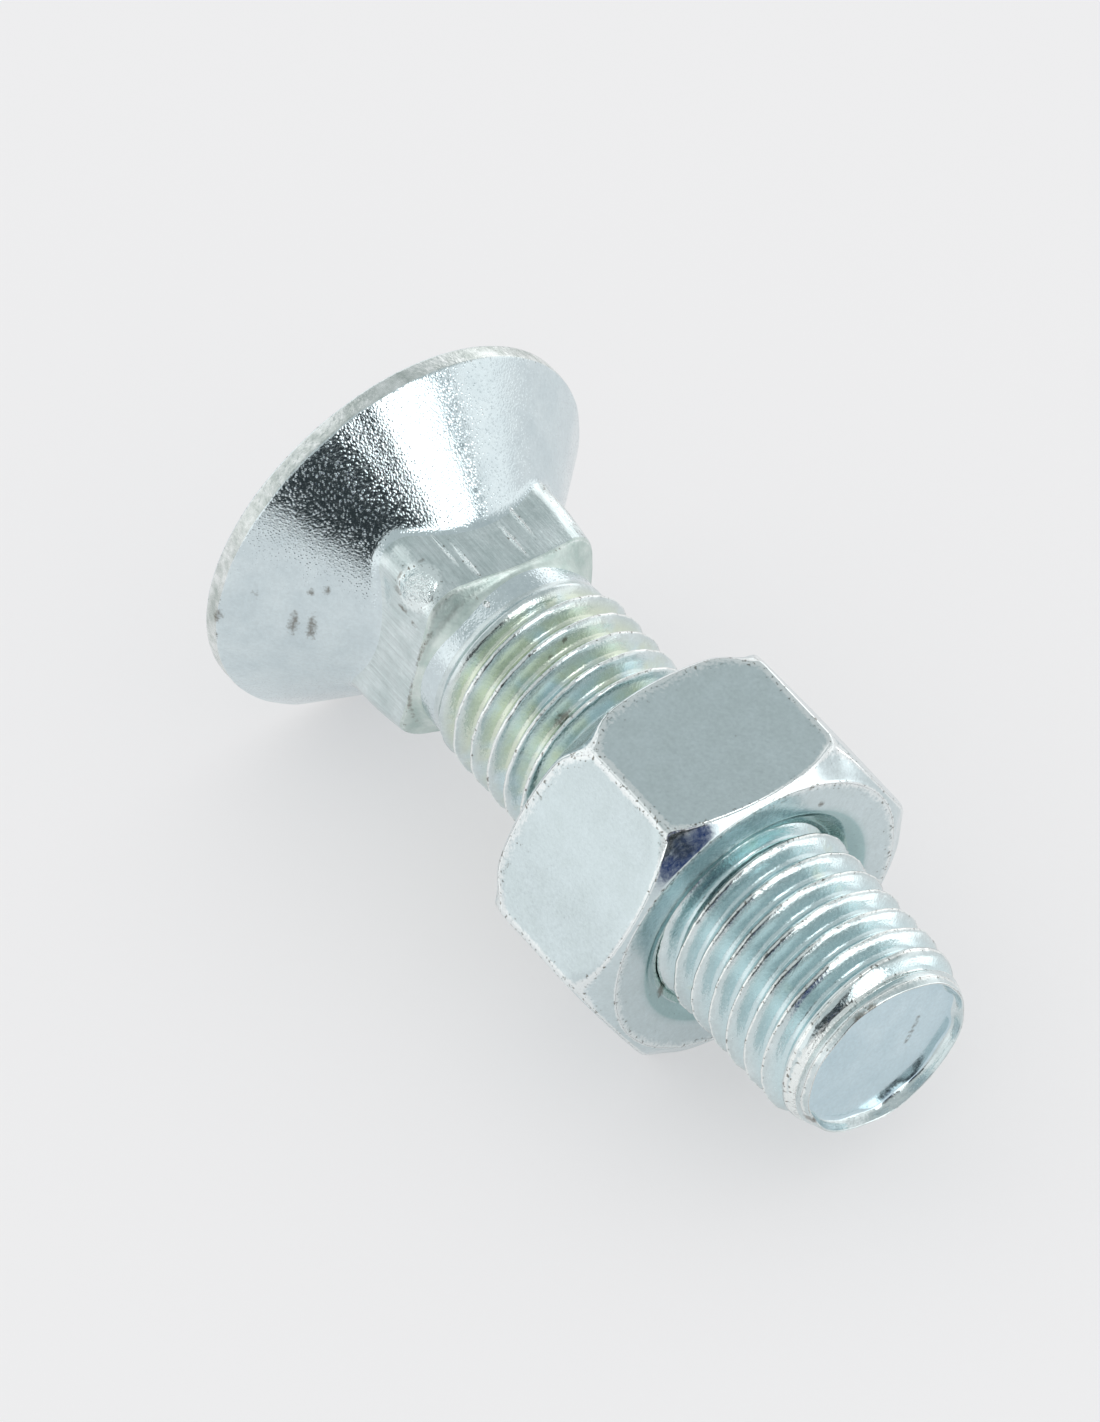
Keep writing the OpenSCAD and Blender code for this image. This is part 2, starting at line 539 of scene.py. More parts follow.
@dataclass(frozen=True)
class ZincPlate:
    """Bright zinc plate with a clear passivate, over worked steel.

    The plate is a blue-white metal. The passivate is a film thinner than the
    light's waves, and tints it green, yellow or blue in soft clouds. What lies
    under the plate, forged scale, die marks or torn edges, shows through as
    its peel, streaks and flecks.

    The film is clouded between pale and deep. edge is the colour of rubbed
    edges and fleck of torn and stained places. In a thread's grooves the film
    goes from groove, near the head, to film, near the end. rough is the lowest
    and highest roughness. Widths and heights are in millimetres: peel and
    peel_height of the soft peel, cloud of the clouds, grain of the plate's
    grains, grit and grit_apart of the single grains under it, and crush of the
    crumpled skin of crushed places. film_change is where the film in the
    grooves begins to change and has changed, along the bolt from the frame's
    middle, and film_ragged is how far the clouds shift that.
    """

    name: str
    pale: str
    deep: str
    peel: float
    peel_height: float
    rough: tuple
    cloud: float = 2.2
    edge: str = "#eef3f3"
    groove: str = ""
    film: str = ""
    streaks: Streaks | None = None
    grit: float = 0.0
    grit_apart: float = 0.17
    grain: float = 0.24
    fleck: str = "#6d675c"
    crush: float = 0.2
    film_change: tuple = (26.0, 40.0)
    film_ragged: float = 70.0

    def build(self, lay: Lay) -> bpy.types.Material:
        """Makes the material, layer on layer.

        Args:
            lay: Where the bolt's axis lies, which the pattern is turned to.

        Returns:
            The material.
        """
        material = bpy.data.materials.new(self.name)
        material.use_nodes = True
        tree = material.node_tree
        tree.nodes.clear()
        ground = self.ground(tree, lay)
        colour = self.filmed(ground)
        height = self.peeled(ground)
        if self.grit:
            height = self.gritty(ground, height)
        if self.streaks:
            colour, height = self.streaked(ground, colour, height)
        if self.groove:
            colour = self.grooved(ground, colour)
        colour = self.rubbed(ground, colour)

        # a wear beyond 1.1 crushes the surface, which crumples and dulls it
        crushed = add_node(tree, "ShaderNodeMapRange", {
            "From Min": 1.1, "From Max": 1.7}, {"Value": ground.marks["wear"]}).outputs[0]
        dark = self.darkened(ground, crushed)
        colour = add_node(tree, "ShaderNodeMix", {
            "data_type": "RGBA", 7: linear(self.fleck)}, {0: dark, 6: colour}).outputs[2]
        rough = self.roughened(ground, dark, crushed)
        crumpled = add_node(tree, "ShaderNodeMath", {
            "operation": "MULTIPLY", 1: self.crush * MM}, {0: crushed}).outputs[0]
        height = add_node(tree, "ShaderNodeMath", {"operation": "MULTIPLY_ADD"},
                          {0: crumpled, 1: ground.grains, 2: height}).outputs[0]
        bump = add_node(tree, "ShaderNodeBump", {"Strength": 1.0, "Distance": 1.0},
                        {"Height": height}).outputs[0]
        shader = add_node(tree, "ShaderNodeBsdfPrincipled", {"Metallic": 1.0},
                          {"Base Color": colour, "Roughness": rough, "Normal": bump})
        add_node(tree, "ShaderNodeOutputMaterial", {}, {"Surface": shader.outputs[0]})
        return material

    def ground(self, tree: bpy.types.NodeTree, lay: Lay) -> Ground:
        """Adds what all layers share.

        Args:
            tree: The material's node tree.
            lay: Where the bolt's axis lies.

        Returns:
            The place, the marks and both noises.
        """
        place = add_node(tree, "ShaderNodeTexCoord").outputs["Object"]
        place = add_node(tree, "ShaderNodeMapping", {"Rotation": (0.0, -lay.tilt, 0.0)},
                         {"Vector": place}).outputs[0]
        marks = {label: add_node(tree, "ShaderNodeAttribute", {"attribute_name": label})
                 .outputs["Fac"] for label in ("wear", "relief", "stain")}
        clouds = add_node(tree, "ShaderNodeTexNoise", {
            "Scale": 1.0 / (self.cloud * MM), "Detail": 3.0, "Roughness": 0.6},
            {"Vector": place}).outputs[0]
        grains = add_node(tree, "ShaderNodeTexNoise", {
            "Scale": 1.0 / (self.grain * MM), "Detail": 2.0, "Roughness": 0.75},
            {"Vector": place}).outputs[0]
        return Ground(tree, place, marks, clouds, grains)

    def filmed(self, ground: Ground) -> bpy.types.NodeSocket:
        """Returns the film's colour, in soft clouds between pale and deep."""
        share = add_node(ground.tree, "ShaderNodeMapRange", {
            "From Min": 0.32, "From Max": 0.68}, {"Value": ground.clouds}).outputs[0]
        return add_node(ground.tree, "ShaderNodeMix", {
            "data_type": "RGBA", 6: linear(self.deep), 7: linear(self.pale)},
            {0: share}).outputs[2]

    def peeled(self, ground: Ground) -> bpy.types.NodeSocket:
        """Returns the height of the plated skin's soft peel, in metres."""
        peel = add_node(ground.tree, "ShaderNodeTexNoise", {
            "Scale": 1.0 / (self.peel * MM), "Detail": 1.5, "Roughness": 0.55},
            {"Vector": ground.place}).outputs[0]
        return add_node(ground.tree, "ShaderNodeMath", {
            "operation": "MULTIPLY", 1: self.peel_height * MM}, {0: peel}).outputs[0]

    def gritty(self, ground: Ground,
               height: bpy.types.NodeSocket) -> bpy.types.NodeSocket:
        """Adds single grains under the plate, higher in some clouds than in others.

        Args:
            ground: What all layers share.
            height: The skin's height, in metres.

        Returns:
            The height with the grains on it.
        """
        cells = add_node(ground.tree, "ShaderNodeTexVoronoi", {
            "Scale": 1.0 / (self.grit_apart * MM), "Randomness": 1.0},
            {"Vector": ground.place}).outputs[0]
        bead = add_node(ground.tree, "ShaderNodeMapRange", {
            "interpolation_type": "SMOOTHSTEP", "From Min": 0.5, "From Max": 0.0,
            "To Max": self.grit * MM}, {"Value": cells}).outputs[0]
        return add_node(ground.tree, "ShaderNodeMath", {"operation": "MULTIPLY_ADD"},
                        {0: bead, 1: ground.clouds, 2: height}).outputs[0]

    def streaked(self, ground: Ground, colour: bpy.types.NodeSocket,
                 height: bpy.types.NodeSocket) -> tuple:
        """Adds the streaks that a tool leaves, which are low where they are dark.

        Args:
            ground: What all layers share.
            colour: The colour so far.
            height: The skin's height, in metres.

        Returns:
            The colour and the height with the streaks.
        """
        size = self.streaks
        drawn = add_node(ground.tree, "ShaderNodeMapping", {
            "Scale": (1.0 / (size.along * MM), 1.0 / (size.across * MM),
                      1.0 / (size.across * MM))}, {"Vector": ground.place}).outputs[0]
        lines = add_node(ground.tree, "ShaderNodeTexNoise", {
            "Scale": 1.0, "Detail": 2.0, "Roughness": 0.7}, {"Vector": drawn}).outputs[0]
        height = add_node(ground.tree, "ShaderNodeMath", {
            "operation": "MULTIPLY_ADD", 1: size.height * MM},
            {0: lines, 2: height}).outputs[0]
        dark = add_node(ground.tree, "ShaderNodeMapRange", {
            "From Min": 0.3, "From Max": 0.65, "To Min": 1.0 - size.contrast,
            "To Max": 1.0}, {"Value": lines}).outputs[0]
        colour = add_node(ground.tree, "ShaderNodeVectorMath", {"operation": "SCALE"},
                          {0: colour, "Scale": dark}).outputs[0]
        return colour, height

    def grooved(self, ground: Ground,
                colour: bpy.types.NodeSocket) -> bpy.types.NodeSocket:
        """Tints the grooves, from one colour near the head to another at the end.

        Args:
            ground: What all layers share.
            colour: The colour so far.

        Returns:
            The colour with the grooves tinted.
        """
        x = add_node(ground.tree, "ShaderNodeSeparateXYZ", {},
                     {0: ground.place}).outputs[0]
        ragged = add_node(ground.tree, "ShaderNodeMath", {
            "operation": "MULTIPLY_ADD", 1: self.film_ragged * MM},
            {0: ground.clouds, 2: x}).outputs[0]
        start, full = self.film_change
        far = add_node(ground.tree, "ShaderNodeMapRange", {
            "From Min": start * MM, "From Max": full * MM}, {"Value": ragged}).outputs[0]
        tinted = add_node(ground.tree, "ShaderNodeMix", {
            "data_type": "RGBA", 6: linear(self.groove), 7: linear(self.film)},
            {0: far}).outputs[2]
        low = add_node(ground.tree, "ShaderNodeMapRange", {
            "From Min": 0.95, "From Max": 0.25},
            {"Value": ground.marks["relief"]}).outputs[0]
        return add_node(ground.tree, "ShaderNodeMix", {"data_type": "RGBA"},
                        {0: low, 6: colour, 7: tinted}).outputs[2]

    def rubbed(self, ground: Ground,
               colour: bpy.types.NodeSocket) -> bpy.types.NodeSocket:
        """Adds the plate's grains, and broken bright lines where edges are rubbed.

        Args:
            ground: What all layers share.
            colour: The colour so far.

        Returns:
            The colour with both.
        """
        light = add_node(ground.tree, "ShaderNodeMapRange", {
            "From Min": NOISE_LOW, "From Max": NOISE_HIGH, "To Min": 0.94,
            "To Max": 1.04}, {"Value": ground.grains}).outputs[0]
        colour = add_node(ground.tree, "ShaderNodeVectorMath", {"operation": "SCALE"},
                          {0: colour, "Scale": light}).outputs[0]
        # a grain of middling height goes bright from a wear of 0.7 to one of 1
        bare = add_node(ground.tree, "ShaderNodeMath", {"operation": "ADD"},
                        {0: ground.grains, 1: ground.marks["wear"]}).outputs[0]
        bare = add_node(ground.tree, "ShaderNodeMapRange", {
            "From Min": 1.2, "From Max": 1.5, "To Max": 0.9}, {"Value": bare}).outputs[0]
        return add_node(ground.tree, "ShaderNodeMix", {
            "data_type": "RGBA", 7: linear(self.edge)}, {0: bare, 6: colour}).outputs[2]

    def darkened(self, ground: Ground,
                 crushed: bpy.types.NodeSocket) -> bpy.types.NodeSocket:
        """Adds dark flecks where edges are torn, and stains with ragged edges.

        The flecks are about a tenth of a millimetre wide, and crushed places
        have none.

        Args:
            ground: What all layers share.
            crushed: How crushed each place is, from 0 to 1.

        Returns:
            How dark each place is, from 0 to 0.8.
        """
        # wear of 1 lowers the grains, so that the lowest of them turn dark, and
        # crushing lifts them again
        torn = add_node(ground.tree, "ShaderNodeMapRange", {"To Max": -0.175},
                        {"Value": ground.marks["wear"]}).outputs[0]
        torn = add_node(ground.tree, "ShaderNodeMath", {
            "operation": "MULTIPLY_ADD", 1: 0.17}, {0: crushed, 2: torn}).outputs[0]
        torn = add_node(ground.tree, "ShaderNodeMath", {"operation": "ADD"},
                        {0: ground.grains, 1: torn}).outputs[0]
        torn = add_node(ground.tree, "ShaderNodeMapRange", {
            "From Min": 0.225, "From Max": 0.185, "To Max": 0.8},
            {"Value": torn}).outputs[0]
        # a stain's strength counts more than the grains, which fray its edge
        stained = add_node(ground.tree, "ShaderNodeMath", {
            "operation": "MULTIPLY_ADD", 1: 1.3},
            {0: ground.marks["stain"], 2: ground.grains}).outputs[0]
        stained = add_node(ground.tree, "ShaderNodeMapRange", {
            "From Min": 0.98, "From Max": 1.35, "To Max": 0.75},
            {"Value": stained}).outputs[0]
        return add_node(ground.tree, "ShaderNodeMath", {"operation": "MAXIMUM"},
                        {0: torn, 1: stained}).outputs[0]

    def roughened(self, ground: Ground, dark: bpy.types.NodeSocket,
                  crushed: bpy.types.NodeSocket) -> bpy.types.NodeSocket:
        """Returns the roughness, which dark and crushed places raise a little.

        Args:
            ground: What all layers share.
            dark: How dark each place is.
            crushed: How crushed each place is.

        Returns:
            The roughness.
        """
        smooth, dull = self.rough
        rough = add_node(ground.tree, "ShaderNodeMapRange", {
            "From Min": NOISE_LOW, "From Max": NOISE_HIGH, "To Min": smooth,
            "To Max": dull}, {"Value": ground.grains}).outputs[0]
        dulled = add_node(ground.tree, "ShaderNodeMath", {"operation": "MAXIMUM"},
                          {0: dark, 1: crushed}).outputs[0]
        return add_node(ground.tree, "ShaderNodeMath", {
            "operation": "MULTIPLY_ADD", 1: 0.06, "use_clamp": True},
            {0: dulled, 2: rough}).outputs[0]


# forged skin of the head and the plain shank: bright, with a fine peel and
# single grains that show as tiny glints
FORGED = ZincPlate("zinc_plated_forged_steel", "#dbe7ea", "#d0dde1", 0.13, 0.01,
                   (0.06, 0.2), cloud=2.0, grit=0.022)
# trimmed rim: a rougher, mottled band where the flash was sheared off
TRIMMED = ZincPlate("zinc_plated_trimmed_steel", "#f0f4f3", "#bcc5c1", 0.22, 0.04,
                    (0.2, 0.4), cloud=0.8)
# die-drawn neck: fine dark lines along the bolt
DRAWN = ZincPlate("zinc_plated_drawn_steel", "#e4eff0", "#cfdddd", 0.2, 0.008,
                  (0.1, 0.25), cloud=1.5, edge="#eef8f8",
                  streaks=Streaks(2.5, 0.13, 0.006, 0.18))
# rolled thread: faint lines round the bolt, bright crests, and grooves tinted
# yellow-green near the shank and teal near the end
ROLLED = ZincPlate("zinc_plated_rolled_steel", "#e4edee", "#cfdcdd", 0.16, 0.012,
                   (0.12, 0.28), cloud=2.6, edge="#f8fcfa", groove="#dbe5d4",
                   film="#d4e7ea", streaks=Streaks(0.12, 1.2, 0.01, 0.1))
# sheared end: smooth and bluish inside the lip
SHEARED = ZincPlate("zinc_plated_sheared_steel", "#cfe2e9", "#c3d8e0", 0.3, 0.004,
                    (0.1, 0.2))
# neck's end, where the die clamped it: matt and grey-green
CLAMPED = ZincPlate("zinc_plated_die_clamped_steel", "#dde7e3", "#bccdc8", 0.2, 0.02,
                    (0.36, 0.52), cloud=1.3)
# cold formed outside of the nut: smooth and even, with teal mouths
COLD_FORMED = ZincPlate("zinc_plated_cold_formed_steel", "#d2dfe2", "#ccd9db", 0.2,
                        0.003, (0.12, 0.24), cloud=1.2, groove="#a9c3c4",
                        film="#a9c3c4")
# tapped bore of the nut: duller and greener, since little plate gets inside
TAPPED = ZincPlate("zinc_plated_tapped_steel", "#c3d9d6", "#a8c4c0", 0.2, 0.012,
                   (0.15, 0.3))


# ---------------------------------------------------------------- the bolt

class Finish(Enum):
    """Which finish a band of the bolt has, as an index of its materials."""

    FORGED = 0
    TRIMMED = 1
    DIE_DRAWN = 2
    ROLLED = 3
    SHEARED = 4
    CLAMPED = 5


@dataclass
class Thread:
    """The screw thread that bolt and nut share, in millimetres.

    The shares are of the pitch. phase is where a crest would lie at the head's
    flat, and the blends round the crest and the root.
    """

    crest_r: float = 5.925
    blank_r: float = 5.55
    pitch: float = 1.5
    depth_share: float = 0.6134
    crest_share: float = 0.125
    floor_share: float = 0.25
    phase: float = -0.09
    crest_blend: float = 0.18
    root_blend: float = 0.34

    @property
    def root_r(self) -> float:
        """Radius at the bottom of the groove."""
        return self.crest_r - self.depth_share * self.pitch

    def height(self, s: np.ndarray, theta: np.ndarray) -> np.ndarray:
        """Height in the thread, from 0 at the root to 1 at the crest.

        Across one pitch it is a straight-sided ridge, an eighth of a pitch
        wide on top, with a floor of a quarter of a pitch between two ridges.
        Its edges are rounded as rolling dies leave them.

        Args:
            s: Distances along the bolt.
            theta: Angles round it.

        Returns:
            The height at each point.
        """
        turns = (s - self.phase) / self.pitch - theta / TURN
        away = np.abs((turns + 0.5) % 1.0 - 0.5)
        flank = (1.0 - self.crest_share - self.floor_share) / 2.0
        ramp = (self.crest_share / 2.0 + flank - away) / flank
        ramp = smooth_min(ramp, np.ones_like(ramp), self.crest_blend)
        return smooth_max(ramp, np.zeros_like(ramp), self.root_blend)

    def shift(self, start: float) -> float:
        """Where the first crest after a start lies, as a share of the pitch."""
        return ((self.phase - start) / self.pitch) % 1.0


def scratch(s: float, start: tuple, end: tuple, count: int, half: float,
            strength: float) -> tuple:
    """Returns marks evenly along a straight line on the bolt's end.

    Each reaches half a millimetre up and down the bolt.

    Args:
        s: Distance of the line along the bolt.
        start: Its first point, sideways and up from the axis.
        end: Its last point.
        count: How many marks make it.
        half: Half the width of each.
        strength: Strength of each.

    Returns:
        The marks.
    """
    places = [(start[0] + (end[0] - start[0]) * i / (count - 1),
               start[1] + (end[1] - start[1]) * i / (count - 1)) for i in range(count)]
    return tuple(Mark(s, math.hypot(y, z), math.degrees(math.atan2(z, y)), 0.5, half,
                      strength) for y, z in places)


# two specks, two long smears and a spot low on the cone, and dirt at the rim
CONE_STAINS = (
    Mark(4.1, 8.7, 158.0, 0.3, 0.35, 0.7), Mark(4.6, 8.2, 155.0, 0.25, 0.45, 0.7),
    Mark(3.8, 9.0, 173.5, 0.3, 1.5, 0.66), Mark(4.5, 8.3, 173.5, 0.3, 1.5, 0.66),
    Mark(1.0, 11.9, 176.0, 0.5, 0.8, 0.6), Mark(2.2, 10.7, 165.0, 0.4, 0.6, 0.5),
)
# the broken dark edge round the crushed corner of the neck, and a speck on
# the shank beside it
CORNER_STAINS = (
    Mark(7.6, 7.0, 136.0, 0.5, 0.25, 0.75), Mark(7.3, 7.2, 130.0, 0.22, 0.45, 0.7),
    Mark(7.6, 7.2, 119.5, 0.22, 0.5, 0.6), Mark(8.3, 6.6, 141.5, 0.6, 0.22, 0.75),
    Mark(9.2, 6.4, 144.0, 0.5, 0.22, 0.7), Mark(10.6, 5.7, 112.0, 0.25, 0.2, 0.6),
)
# a dark band along the foot of the neck's near side
NECK_FOOT_DARK_BAND = tuple(Mark(10.2, 5.95, turn, 0.2, 0.4, 0.62)
                       for turn in range(143, 218, 5))
# a brown patch in a groove, and two dark specks
THREAD_STAINS = (
    Mark(19.1, 5.1, 122.0, 0.35, 0.85, 0.72), Mark(15.6, 5.4, 91.0, 0.25, 0.25, 0.9),
    Mark(15.8, 5.1, 103.0, 0.25, 0.25, 0.8),
)
# brown spots on the lip
LIP_STAINS = (
    Mark(43.9, 4.95, 114.0, 0.35, 0.6, 0.8), Mark(43.9, 4.95, 105.0, 0.3, 0.5, 0.8),
    Mark(43.8, 5.0, 203.0, 0.5, 0.5, 0.85),
)
# the scratch in the dish, drawn wider than it is so that it shows
END_SCRATCH = scratch(43.5, (1.8, -0.55), (2.45, 1.0), 6, 0.32, 0.62)
# the crushed corner's bright face, a rubbed spot on the shank beside it, and
# the burnished corner next to it
CORNER_RUBS = (
    Mark(8.5, 7.3, 128.5, 1.3, 1.4, 2.2), Mark(11.2, 5.55, 110.0, 0.3, 0.2, 2.0),
    Mark(7.5, 7.2, 38.0, 2.6, 0.7, 1.5),
)
# bright scratches along the neck's flats
NECK_SCRATCHES = (
    Mark(8.3, 6.5, 108.3, 2.4, 0.14, 2.2), Mark(8.8, 6.2, 103.6, 1.8, 0.18, 2.1),
    Mark(8.6, 5.8, 73.3, 1.6, 0.2, 1.9), Mark(7.6, 6.1, 61.7, 1.5, 0.2, 1.9),
)


@dataclass
class PlowBolt:
    """Head, square neck, shank and thread, forged and rolled in one piece."""

    thread: Thread

    # the head: its rim with the rounding of both edges, and its cone
    head_r: float = 11.9
    rim_h: float = 1.0
    rim_round: float = 0.2
    rim_edge: float = 0.12
    rim_ripple: Ripple = Ripple(0.03, 3, range(3, 30))
    cone_half: float = math.radians(46.0)
    cone_blend: float = 0.55

    # the square neck and its sloping end
    neck_half: float = 5.75
    neck_round: float = 1.9
    neck_end: float = 10.3
    neck_end_slope: float = math.radians(17.0)
    neck_turn: float = math.radians(-9.4)
    neck_edge: float = 0.3

    # how deep the four corners are pressed in at the neck's end, how much more
    # the near one is, over what angle, from how far back, and the blend there
    knock: float = 0.3
    knock_near: float = 0.45
    knock_spread: float = 0.3
    knock_back: float = 2.3
    knock_blend: float = 0.9
    near_corner: float = math.radians(125.6)

    # the lump of metal pushed up beside the near corner, with its half sizes
    # along the bolt, in millimetres, and round it, in radians
    lump: float = 0.2
    lump_s: float = 8.5
    lump_turn: float = math.radians(128.5)
    lump_along: float = 0.9
    lump_spread: float = 0.18

    # the fillet at the shank's foot, and how far beyond the neck's end its
    # corner lies, as a share of it
    shank_fillet: float = 0.6
    foot_share: float = 0.4

    # the forged skin's swells, faded out in the head's middle and at the thread,
    # and the deeper dents where the dies have gripped the shank
    waviness: float = 0.012
    wide_swells: Swells = Swells(3.0, 20, 11)
    fine_swells: Swells = Swells(1.4, 44, 12)
    fine_share: float = 0.5
    flat_fade: tuple = (0.5, 3.0)
    thread_fade: float = 1.6
    dents: float = 0.05
    dent_swells: Swells = Swells(1.2, 12, 13)
    dent_fade: float = 0.4

    # where the rolling dies begin to bite and where the thread is full, and the
    # nicks and wear of its crests
    thread_from: float = 11.9
    thread_full: float = 13.3
    crest_nicks: float = 0.035
    nick_swells: tuple = (Swells(0.7, 90, 21), Swells(1.6, 28, 22))
    nick_fade: float = 0.6
    crest_wear: float = 1.15
    crest_wear_from: float = 0.93

    # the taper towards the end
    length: float = 44.0
    taper_h: float = 3.0
    taper_over: float = 0.2
    taper_blend: float = 0.15

    # the lip round the end: its foot, its bead, its top and their wear
    lip_r: float = 5.05
    lip_foot: float = 0.85
    lip_bead: float = 0.17
    bead_up: float = 0.42
    bead_round: float = 0.1
    lip_round: float = 0.22
    lip_land: float = 0.12
    lip_edge: float = 0.08
    top_ripple: Ripple = Ripple(0.06, 5, range(1, 9))
    lip_ripple: Ripple = Ripple(0.05, 6, range(2, 12))
    lip_wear: float = 1.4
    lip_wear_reach: float = 0.7

    # the dish inside the lip
    dish_r: float = 4.75
    dish_h: float = 0.62
    dish_foot: float = 0.3
    wall_ripple: Ripple = Ripple(0.08, 7, range(1, 16))

    columns: int = 216
    rows_a_pitch: int = 13
    stains: tuple = (*CONE_STAINS, *CORNER_STAINS, *THREAD_STAINS, *LIP_STAINS,
                     *END_SCRATCH, *NECK_FOOT_DARK_BAND)
    rubs: tuple = (*CORNER_RUBS, *NECK_SCRATCHES)

    def __post_init__(self) -> None:
        """Works out the angles of the grid's columns."""
        self.theta = np.linspace(0.0, TURN, self.columns + 1)

    def knocked(self) -> np.ndarray:
        """Returns how far the neck's corners are pressed in at its end.

        Each of the four corners has a bell over the angle, and the bell of one
        corner is deeper than the others.
        """
        turns = self.near_corner + np.arange(4)[:, None] * TURN / 4
        away = turned_by(self.theta[None, :], turns)
        bells = np.exp(-(away / self.knock_spread) ** 2)
        return self.knock * bells.sum(axis=0) + self.knock_near * bells[0]

    def neck_r(self) -> np.ndarray:
        """Returns the neck's radius at each angle."""
        return polygon_radius(self.theta, 4, self.neck_half, self.neck_round,
                              self.neck_turn)

    def head_and_neck(self, rows: Rows) -> None:
        """Adds the head's flat, its rim and cone, the neck and its end.

        Args:
            rows: The grid to add to.
        """
        around = self.neck_r()
        end = around - self.knocked()
        foot = self.neck_end + self.shank_fillet * self.foot_share
        meet = self.rim_h + (self.head_r - around) / math.tan(self.cone_half)
        edge = self.neck_end - (around - self.neck_half) * math.tan(self.neck_end_slope)
        shank = np.full_like(around, self.thread.blank_r)
        flat = np.zeros_like(around)
        rim = self.rim_h + self.rim_ripple.at(self.theta)
        corners = [
            (flat, flat),
            (flat, self.head_r),
            (rim, self.head_r),
            (meet, around),
            (edge - self.knock_back, around),
            (edge, end),
            (foot, shank),
            (flat + self.thread_from, shank),
        ]
        cuts = [self.rim_round, self.rim_edge, self.cone_blend, self.knock_blend,
                self.neck_edge, self.shank_fillet]
        steps, arc_steps = [14, 3, 28, 5, 6, 5, 5], 6
        s, r, middles = even_path(corners, cuts, steps, arc_steps)
        across = turned_by(self.theta, self.lump_turn) / self.lump_spread
        lump = np.exp(-((s - self.lump_s) / self.lump_along) ** 2 - across ** 2)
        r = r + self.waves(s, r) + self.lump * lump
        # both edges of the rim and the edge at the neck's end
        wear = edge_wear(len(s), [(middles[0], 3, 1.0), (middles[1], 3, 0.8),
                                  (middles[4], 4, 0.8)])
        # the row where each finish begins, and the end of the last
        bounds = [0, middles[0] + 2, middles[1], middles[2] + 1, middles[4] - 1,
                  middles[5] + 3, len(s)]
        kinds = [Finish.FORGED, Finish.TRIMMED, Finish.FORGED, Finish.DIE_DRAWN,
                 Finish.CLAMPED, Finish.FORGED]
        for k, kind in enumerate(kinds):
            band = slice(bounds[k], bounds[k + 1])
            rows.add(s[band], r[band], kind.value, wear[band], relief=1.0)

    def waves(self, s: np.ndarray, r: np.ndarray) -> np.ndarray:
        """Returns how far the forged skin lies off its true radius.

        Two layers of swells, wide and fine, fade out towards the middle of the
        head's flat and towards the thread, and the plain shank has dents.

        Args:
            s: Distances along the bolt.
            r: Distances from the axis.

        Returns:
            The height of the skin at each point.
        """
        wide = self.wide_swells.at(s, self.theta)
        fine = self.fine_swells.at(s, self.theta)
        left = self.thread_from - s
        held = ease(r, *self.flat_fade) * ease(left, 0.0, self.thread_fade)
        gripped = ease(s, self.neck_end, self.neck_end + self.shank_fillet)
        gripped = gripped * ease(left, 0.0, self.dent_fade)
        dents = self.dents * self.dent_swells.at(s, self.theta) * gripped
        return self.waviness * (wide + self.fine_share * fine) * held + dents

    def threaded(self, rows: Rows) -> None:
        """Adds the plain shank's end and the thread, up to the lip.

        The radius is the blank's until the dies begin to bite, then goes over
        to the thread's own, and is cut down by the taper towards the end. The
        nicks grow with the cube of the height, which keeps them on the crests.

        Args:
            rows: The grid to add to.
        """
        end = self.length - self.lip_foot
        phases = crowded_phases(self.rows_a_pitch, self.thread.shift(self.thread_from))
        s = screw_rows(self.thread_from, end, self.thread.pitch, self.theta, phases)
        height = self.thread.height(s, self.theta)
        nicks = sum(swells.at(s, self.theta) for swells in self.nick_swells)
        bite = ease(s, self.thread_from, self.thread_full)
        held = bite * ease(end - s, 0.0, self.nick_fade)
        radius = self.thread_r(s, height) + self.crest_nicks * nicks * height ** 3 * held
        wear = self.crest_wear * ease(height, self.crest_wear_from, 1.0) * bite
        lip_wear = self.lip_wear * ease(s, end - self.lip_wear_reach, end)
        wear = np.maximum(wear, lip_wear)
        rows.add(s, radius, Finish.ROLLED.value, wear, 1.0 - bite * (1.0 - height))

    def thread_r(self, s: np.ndarray, height: np.ndarray) -> np.ndarray:
        """Returns the bolt's radius for a place along it and in its thread.

        Args:
            s: Distances along the bolt.
            height: Heights in the thread, from root 0 to crest 1.

        Returns:
            The radius at each point.
        """
        thread = self.thread
        full = thread.root_r + (thread.crest_r - thread.root_r) * height
        bite = ease(s, self.thread_from, self.thread_full)
        cut = thread.blank_r + (full - thread.blank_r) * bite
        fall = (self.length - s) / self.taper_h
        taper = self.lip_r + (thread.crest_r + self.taper_over - self.lip_r) * fall
        return smooth_min(cut, taper, self.taper_blend)

    def end(self, rows: Rows) -> None:
        """Adds the lip that rolling leaves round the end, and the dish in it.

        The lip is rubbed bright from its bead to its top.

        Args:
            rows: The grid to add to.
        """
        theta = self.theta
        start = np.full_like(theta, self.length - self.lip_foot)
        start_r = self.thread_r(start, self.thread.height(start, theta))
        top = self.length + self.top_ripple.at(theta)
        lip = self.lip_r + self.lip_ripple.at(theta)
        wall = self.dish_r + self.wall_ripple.at(theta)
        floor = np.full_like(theta, self.length - self.dish_h)
        corners = [(start, start_r), (start + self.bead_up, lip + self.lip_bead),
                   (top, lip), (top, lip - self.lip_land), (floor, wall),
                   (floor, np.zeros_like(theta))]
        cuts = [self.bead_round, self.lip_round, self.lip_edge, self.dish_foot]
        steps, arc_steps = [3, 2, 1, 2, 20], 6
        s, r, middles = even_path(corners, cuts, steps, arc_steps)
        s, r = s[1:], r[1:]
        split = middles[3] - 1
